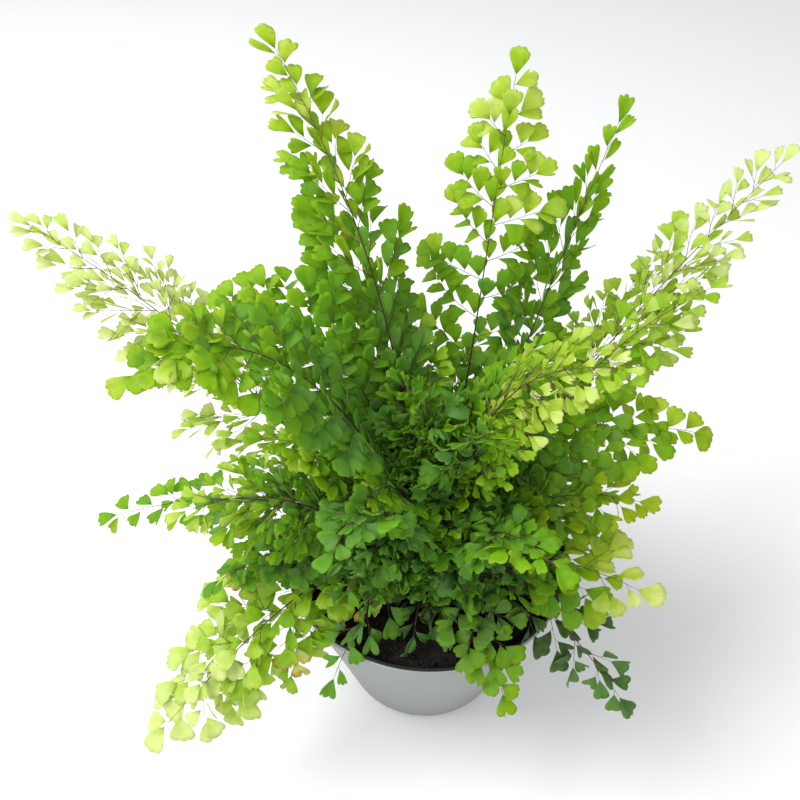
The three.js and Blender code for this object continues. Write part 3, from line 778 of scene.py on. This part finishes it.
def build_pot(outside, inside):
    """The cup, grey outside and black inside, where the black begins on the round of the lip."""
    under = POT_HEIGHT - RIM_HEIGHT
    wall = inner_radius(under) + POT_WALL
    lip_out = POT_TOP_RADIUS - LIP_ROUND
    lip_in = inner_radius(POT_HEIGHT) + LIP_ROUND
    outer = [(0, 0), (POT_BASE_RADIUS - BASE_CORNER - FOOT_WIDTH, 0)]
    outer += arc((POT_BASE_RADIUS - BASE_CORNER, BASE_CORNER), BASE_CORNER, -90, -6, 6)
    outer += [(wall, under - RIM_STEP / 2), (wall + 0.25, under - 0.1)]
    outer += arc((POT_TOP_RADIUS - RIM_ROUND, under + RIM_ROUND), RIM_ROUND, -90, 0, 3)
    outer += arc((lip_out, POT_HEIGHT - LIP_ROUND), LIP_ROUND, 0, 90, 4)
    inner = arc((lip_in, POT_HEIGHT - LIP_ROUND), LIP_ROUND, 90, 180, 4)
    inner += [(inner_radius(BASE_CORNER + 1), BASE_CORNER + 1)]
    inner += [(inner_radius(BASE_CORNER) - BASE_CORNER + POT_FLOOR, POT_FLOOR), (0, POT_FLOOR)]
    profile = outer + inner
    grey = len(outer) - DARK_STEPS
    slots = [OUTSIDE_SLOT] * grey + [INSIDE_SLOT] * (len(profile) - 1 - grey)
    parts = Parts()
    lathe(parts, profile, POT_SIDES, slots)
    pot = parts.build("pot_shell", [outside, inside])
    drill_holes(pot)
    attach(pot, "root")
    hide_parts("pot")


def drill_holes(pot):
    """Drain holes through the floor of the pot."""
    parts = Parts()
    for k in range(DRAIN_HOLES):
        centre = direction(k * 360 / DRAIN_HOLES, 0) * DRAIN_CIRCLE
        add_tube(parts, [centre + Vector((0, 0, z)) for z in (-DRILL_REACH, DRILL_REACH)],
                 [DRAIN_RADIUS] * 2, DRILL_SIDES, (0, 0), OUTSIDE_SLOT)
    drill = parts.build("drill", [])
    modifier = pot.modifiers.new("holes", "BOOLEAN")
    modifier.operation = "DIFFERENCE"
    modifier.object = drill
    modifier.solver = "EXACT"
    bpy.context.view_layer.update()
    cut = bpy.data.meshes.new_from_object(
        pot.evaluated_get(bpy.context.evaluated_depsgraph_get()))
    pot.modifiers.clear()
    pot.data = cut
    bpy.data.objects.remove(drill)


# ---------------------------------------------------------------- soil and rootstock

SOIL_SEED = 5
SOIL_SIDES = 150
SOIL_STEPS = 44
SOIL_PLAY = 0.45
SOIL_FLOOR = POT_FLOOR + 0.5
CRUMBS = 900
CRUMB_SIZE = (0.35, 1.2)
FIBRES = 260
FIBRE_RADIUS = 0.14
FIBRE_POINTS = 5

CROWN_SEED = 11
CROWN_SIDES = 72
CROWN_STEPS = 12
CROWN_RIM = 0.9 * CROWN_RADIUS
OLD_STEMS = 110
OLD_STEM_RADII = [0.8, 0.7, 0.45, 0.15]


def soil_height(x, y):
    """Height of the soil: the lumps of the solid, with finer roughness on them."""
    lump = math.sin(x * 0.31 + 2) * math.cos(y * 0.27) + math.sin((x + y) * 0.83) * 0.5
    here = Vector((x, y, 3))
    rough = noise.fractal(here * 0.22, 1, 2, 5) * 1.3 + noise.noise(here * 0.9) * 0.7
    return SOIL_LEVEL + 0.6 * SOIL_LUMP * lump + rough


def place_within(radius, random):
    """An angle and a distance from the axis, drawn evenly over a disc."""
    return random.uniform(0, 2 * math.pi), math.sqrt(random.random()) * radius


def add_crumb(parts, centre, size, random):
    """A small angular crumb: a box with its corners drawn out of true."""
    corners = np.array([(x, y, z) for x in (-1, 1) for y in (-1, 1) for z in (-1, 1)], float)
    corners *= size * np.array([random.uniform(0.6, 1.2) for _ in range(24)]).reshape(8, 3)
    turn = Quaternion((random.random(), random.random(), random.random()),
                      random.uniform(0, 6)).to_matrix()
    faces = np.array([(0, 1, 3, 2), (4, 6, 7, 5), (0, 4, 5, 1), (2, 3, 7, 6), (0, 2, 6, 4),
                      (1, 5, 7, 3)])
    parts.add(corners @ np.array(turn) + np.array(centre), [faces], (random.random(), 0.5))


def add_fibre(parts, here, random):
    """A thin root fibre that wanders over the soil."""
    heading = random.uniform(0, 2 * math.pi)
    path = []
    for _ in range(FIBRE_POINTS):
        here.z = soil_height(here.x, here.y) + random.uniform(0.1, 0.9)
        path.append(here.copy())
        heading += random.gauss(0, 0.5)
        here += Vector((math.cos(heading), math.sin(heading), 0)) * random.uniform(0.8, 1.6)
    add_tube(parts, path, [FIBRE_RADIUS] * FIBRE_POINTS, 4, (random.random(), 1), 0)


def build_soil(material):
    random = Random(SOIL_SEED)
    wall = inner_radius(SOIL_LEVEL - SOIL_SHOULDER) - SOIL_PLAY
    parts = Parts()
    radii = [wall * (1 - k / SOIL_STEPS) for k in range(SOIL_STEPS)]
    profile = [(0, SOIL_FLOOR), (inner_radius(BASE_CORNER) - BASE_CORNER, SOIL_FLOOR),
               (inner_radius(BASE_CORNER + 1) - SOIL_PLAY, BASE_CORNER + 1)]
    profile += [(radius, SOIL_LEVEL) for radius in radii] + [(0, SOIL_LEVEL)]
    lathe(parts, profile, SOIL_SIDES)
    for point in parts.points[0]:
        if point[2] > SOIL_LEVEL - 1:
            edge = max(0, math.hypot(point[0], point[1]) - (wall - SOIL_SHOULDER))
            point[2] = soil_height(point[0], point[1]) - edge * edge / SOIL_SHOULDER
    for _ in range(CRUMBS):
        angle, radius = place_within(wall - 2, random)
        x, y = radius * math.cos(angle), radius * math.sin(angle)
        centre = (x, y, soil_height(x, y) + 0.2)
        add_crumb(parts, centre, random.uniform(*CRUMB_SIZE), random)
    for _ in range(FIBRES):
        angle, radius = place_within(wall - 6, random)
        add_fibre(parts, Vector((radius * math.cos(angle), radius * math.sin(angle), 0)), random)
    soil = parts.build("soil_bed", [material])
    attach(soil, "root")
    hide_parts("soil")


def build_rootstock(material):
    """A knobbly crown with old stem bases standing on it."""
    random = Random(CROWN_SEED)
    parts = Parts()
    profile = [(0, CROWN_BOTTOM), (0.55 * CROWN_RADIUS, CROWN_BOTTOM + 1),
               (0.9 * CROWN_RADIUS, CROWN_BOTTOM + 4), (CROWN_RADIUS, CROWN_EDGE)]
    radii = [CROWN_RIM * (1 - k / CROWN_STEPS) for k in range(CROWN_STEPS)]
    profile += [(radius, crown_height(radius)) for radius in radii]
    profile.append((0, CROWN_TOP))
    lathe(parts, profile, CROWN_SIDES)
    for point in parts.points[0]:
        if point[2] > CROWN_EDGE + 0.5:
            here = Vector(point)
            point[2] += 0.9 * noise.noise(here * 0.35) + 0.35 * noise.noise(here * 1.1) - 0.5
    for _ in range(OLD_STEMS):
        angle, radius = place_within(CROWN_RIM, random)
        foot = Vector((radius * math.cos(angle), radius * math.sin(angle), 0))
        foot.z = crown_height(radius) - 1.5
        lean = direction(math.degrees(angle) + random.uniform(-40, 40), random.uniform(45, 85))
        tall = random.uniform(2.5, 7)
        path = [foot + lean * tall * share for share in (0, 0.4, 0.8, 1)]
        add_tube(parts, path, OLD_STEM_RADII, 6, (random.random(), 0.5), 0)
    crown = parts.build("rootstock_crown", [material])
    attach(crown, "root")
    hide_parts("rootstock")


# ---------------------------------------------------------------- materials

# Leaf colours by tone, as light falls on them and as it comes through: from old and dark
# through fresh green to young and pale, then the yellow and brown of withered ones.
LEAF_TONES = [
    (0.0, (0.05, 0.095, 0.018)),
    (0.12, (0.1, 0.235, 0.06)),
    (0.28, (0.12, 0.3, 0.035)),
    (0.45, (0.15, 0.35, 0.01)),
    (0.58, (0.26, 0.46, 0.015)),
    (0.7, (0.42, 0.59, 0.08)),
    (0.8, (0.64, 0.75, 0.3)),
    (0.9, (0.68, 0.78, 0.3)),
    (0.95, (0.7, 0.6, 0.1)),
    (1.0, (0.36, 0.2, 0.05)),
]
GLOW_TONES = [
    (0.0, (0.15, 0.28, 0.04)),
    (0.12, (0.26, 0.5, 0.08)),
    (0.28, (0.4, 0.68, 0.04)),
    (0.45, (0.54, 0.82, 0.03)),
    (0.58, (0.76, 0.92, 0.1)),
    (0.7, (0.9, 1.0, 0.34)),
    (0.8, (0.97, 1.0, 0.62)),
    (0.9, (1.0, 1.0, 0.55)),
    (0.95, (0.9, 0.75, 0.1)),
    (1.0, (0.45, 0.25, 0.04)),
]
OLIVE = (1.32, 0.98, 0.9, 1)
UNDERSIDE = (0.3, 0.5, 0.16, 1)
UNDERSIDE_SHARE = 0.22
GLOW_SHARE = 0.44

# How far a leaf's tone changes: in clouds, from vein to vein, and from the foot to the edge.
CLOUD_TONE = 0.18
VEIN_TONE = 0.025
VEIN_WAVES = 88
FOOT_TONE = -0.07
EDGE_TONE = 0.1

STEM_COLORS = [(0.0, (0.012, 0.006, 0.008)), (0.5, (0.07, 0.018, 0.026)),
               (1.0, (0.24, 0.1, 0.07))]
GREY = (0.3, 0.315, 0.31)
BLACK = (0.02, 0.021, 0.021)
PEAT_COLORS = [(0.3, (0.003, 0.002, 0.002)), (0.6, (0.01, 0.007, 0.005)),
               (0.8, (0.035, 0.025, 0.018))]
BARK_COLORS = [(0.3, (0.01, 0.006, 0.004)), (0.7, (0.07, 0.035, 0.018))]


class Nodes:
    """A short way to write a material's nodes."""

    def __init__(self, name):
        self.material = bpy.data.materials.new(name)
        self.material.use_nodes = True
        self.tree = self.material.node_tree
        self.tree.nodes.clear()

    def add(self, kind, inputs=None, **settings):
        """A node whose inputs are plain values or the outputs of other nodes."""
        node = self.tree.nodes.new(kind)
        for key, value in settings.items():
            setattr(node, key, value)
        for key, value in (inputs or {}).items():
            if isinstance(value, bpy.types.NodeSocket):
                self.tree.links.new(value, node.inputs[key])
            else:
                node.inputs[key].default_value = value
        return node

    def pair(self, name):
        """The two values that the mesh carries under a name."""
        values = self.add("ShaderNodeUVMap", uv_map=name).outputs["UV"]
        split = self.add("ShaderNodeSeparateXYZ", {"Vector": values})
        return split.outputs["X"], split.outputs["Y"]

    def compute(self, operation, *values):
        return self.add("ShaderNodeMath", dict(enumerate(values)),
                        operation=operation).outputs[0]

    def span(self, value, start, end, low, high):
        """A value moved from one span to another."""
        return self.add("ShaderNodeMapRange",
                        {0: value, 1: start, 2: end, 3: low, 4: high}).outputs[0]

    def noise(self, scale, detail):
        place = self.add("ShaderNodeTexCoord").outputs["Object"]
        return self.add("ShaderNodeTexNoise", {"Vector": place, "Scale": scale,
                                               "Detail": detail}).outputs["Fac"]

    def bump(self, height, strength, distance):
        return self.add("ShaderNodeBump", {"Height": height, "Strength": strength,
                                           "Distance": distance}).outputs["Normal"]

    def ramp(self, factor, stops):
        node = self.add("ShaderNodeValToRGB", {"Fac": factor})
        elements = node.color_ramp.elements
        while len(elements) < len(stops):
            elements.new(0.5)
        for element, (place, color) in zip(elements, stops):
            element.position = place
            element.color = (*color, 1)
        return node.outputs["Color"]

    def mixed(self, share, color, other, blend="MIX"):
        return self.add("ShaderNodeMix", {0: share, 6: color, 7: other}, data_type="RGBA",
                        blend_type=blend).outputs[2]

    def finish(self, shader):
        output = self.add("ShaderNodeOutputMaterial")
        self.tree.links.new(shader.outputs[0], output.inputs["Surface"])
        return self.material


def leaf_material():
    n = Nodes("fern_leaf")
    tone, skin = n.pair("Tone")
    across, outwards = n.pair("Fan")
    veins = n.compute("SINE", n.compute("MULTIPLY", across, VEIN_WAVES))
    clouds = n.compute("MULTIPLY_ADD", n.noise(260, 3), CLOUD_TONE, -CLOUD_TONE / 2)
    shade = n.compute("MULTIPLY_ADD", veins, VEIN_TONE, n.compute("ADD", clouds, tone))
    edge = n.compute("MULTIPLY_ADD", outwards, EDGE_TONE, FOOT_TONE)
    shade = n.compute("ADD", edge, shade)
    warmth = n.compute("MULTIPLY", n.compute("MODULO", skin, 0.5), 1 / WARMTH_SPAN)
    color = n.mixed(warmth, n.ramp(shade, LEAF_TONES), OLIVE, "MULTIPLY")
    glow_color = n.mixed(warmth, n.ramp(shade, GLOW_TONES), OLIVE, "MULTIPLY")
    under = n.compute("MULTIPLY", n.compute("GREATER_THAN", skin, 0.49), UNDERSIDE_SHARE)
    bump = n.bump(veins, 0.25, 0.0002)
    surface = n.add("ShaderNodeBsdfPrincipled", {
        "Base Color": n.mixed(under, color, UNDERSIDE), "Roughness": 0.4,
        "Specular IOR Level": n.span(tone, 0.15, 0.45, 0.38, 0.2), "Normal": bump})
    glow = n.add("ShaderNodeBsdfTranslucent", {"Color": glow_color, "Normal": bump})
    return n.finish(n.add("ShaderNodeMixShader", {
        0: GLOW_SHARE, 1: surface.outputs[0], 2: glow.outputs[0]}))


def stem_material():
    n = Nodes("black_stem")
    tone, _ = n.pair("Tone")
    return n.finish(n.add("ShaderNodeBsdfPrincipled", {
        "Base Color": n.ramp(tone, STEM_COLORS), "Roughness": 0.4,
        "Specular IOR Level": 0.25}))


def pot_material(name, color, roughness):
    n = Nodes(name)
    clouds = n.noise(28, 4)
    tint = n.ramp(clouds, [(0.3, tuple(0.93 * c for c in color)), (0.7, color)])
    return n.finish(n.add("ShaderNodeBsdfPrincipled", {
        "Base Color": tint,
        "Roughness": n.span(clouds, 0.3, 0.7, roughness - 0.06, roughness + 0.06),
        "Normal": n.bump(n.noise(900, 2), 0.08, 0.0002)}))


def earth_material(name, stops, scale):
    n = Nodes(name)
    tone, _ = n.pair("Tone")
    grain = n.noise(scale, 6)
    total = n.compute("ADD", n.compute("MULTIPLY_ADD", tone, 0.35, -0.17), grain)
    return n.finish(n.add("ShaderNodeBsdfPrincipled", {
        "Base Color": n.ramp(total, stops), "Roughness": 0.85, "Specular IOR Level": 0.25,
        "Normal": n.bump(grain, 0.6, 0.0008)}))


# ---------------------------------------------------------------- camera, floor and light

CAMERA_PLACE = Vector((-14.2, -285.3, 465.6)) * MM
CAMERA_DIP = 42.5
LENS = 38.7
SENSOR = 36
NEAREST = 0.01

SKY = (0.96, 0.98, 1, 1)
SKY_STRENGTH = 0.63
FLOOR_REACH = 6000
FLOOR_COLOR = (0.88, 0.88, 0.88, 1)

# Round lamps that face the plant: name, place in metres, width and power.
LAMPS = [("window", (-0.95, -0.05, 1.5), 1.2, 30), ("fill", (-0.1, -1.3, 1.2), 1.2, 7.5)]
LAMP_AIM = Vector((0, 0, 0.15))


def build_studio():
    """Camera, sky, lamps and floor."""
    scene = bpy.context.scene
    camera = bpy.data.objects.new("camera", bpy.data.cameras.new("camera"))
    camera.location = CAMERA_PLACE
    camera.rotation_euler = (math.radians(90 - CAMERA_DIP), 0, 0)
    camera.data.lens = LENS
    camera.data.sensor_width = SENSOR
    camera.data.clip_start = NEAREST
    scene.collection.objects.link(camera)
    scene.camera = camera
    scene.view_settings.view_transform = "Standard"

    world = bpy.data.worlds.new("studio")
    world.use_nodes = True
    background = world.node_tree.nodes["Background"]
    background.inputs["Color"].default_value = SKY
    background.inputs["Strength"].default_value = SKY_STRENGTH
    scene.world = world

    for name, place, size, power in LAMPS:
        data = bpy.data.lights.new(name, "AREA")
        data.shape = "DISK"
        data.size = size
        data.energy = power
        lamp = bpy.data.objects.new(name, data)
        lamp.location = place
        lamp.rotation_euler = (LAMP_AIM - lamp.location).to_track_quat("-Z", "Y").to_euler()
        scene.collection.objects.link(lamp)

    parts = Parts()
    corners = [(-FLOOR_REACH, -FLOOR_REACH, 0), (FLOOR_REACH, -FLOOR_REACH, 0),
               (FLOOR_REACH, FLOOR_REACH, 0), (-FLOOR_REACH, FLOOR_REACH, 0)]
    parts.add(corners, [np.array([(0, 1, 2, 3)])], PLAIN_TONE)
    n = Nodes("white_floor")
    paint = n.add("ShaderNodeBsdfPrincipled", {"Base Color": FLOOR_COLOR, "Roughness": 0.6})
    parts.build("floor", [n.finish(paint)])


# ---------------------------------------------------------------- the scene


def main():
    build_studio()
    foliage = [leaf_material(), stem_material()]
    build_pot(pot_material("grey_plastic", GREY, 0.6), pot_material("black_plastic", BLACK, 0.4))
    build_soil(earth_material("peat", PEAT_COLORS, 420))
    build_rootstock(earth_material("rootstock_bark", BARK_COLORS, 300))
    for number, frond in enumerate(frond_list(), 1):
        build_frond(frond, number, foliage)


main()
